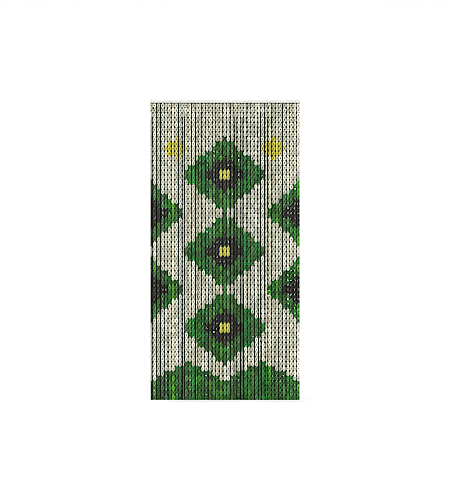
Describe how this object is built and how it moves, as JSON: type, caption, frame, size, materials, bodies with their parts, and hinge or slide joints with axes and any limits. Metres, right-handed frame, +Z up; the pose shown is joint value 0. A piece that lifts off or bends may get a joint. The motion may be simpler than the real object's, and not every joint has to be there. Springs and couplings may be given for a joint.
{
  "type": "plastic tile door curtain",
  "caption": "Hanging door curtain of hooked plastic tile strands under a slim head rail, with a geometric pattern in the tiles.",
  "frame": {"origin": "middle of the head rail's top face", "axes": "+Z up, out of the rail's top face; +X along the rail to the right, seen from the front; the front faces -Y"},
  "size_m": [1, 0.022, 2],
  "materials": {
    "rail": "white lacquer, satin",
    "tiles": "moulded plastic tiles in cream, green, dark brown and yellow, glossy with soft highlights on their rims"
  },
  "bodies": {
    "root": {"head_rail": "rail", "strands_left": "tiles", "strands_right": "tiles"}
  },
  "joints": []
}
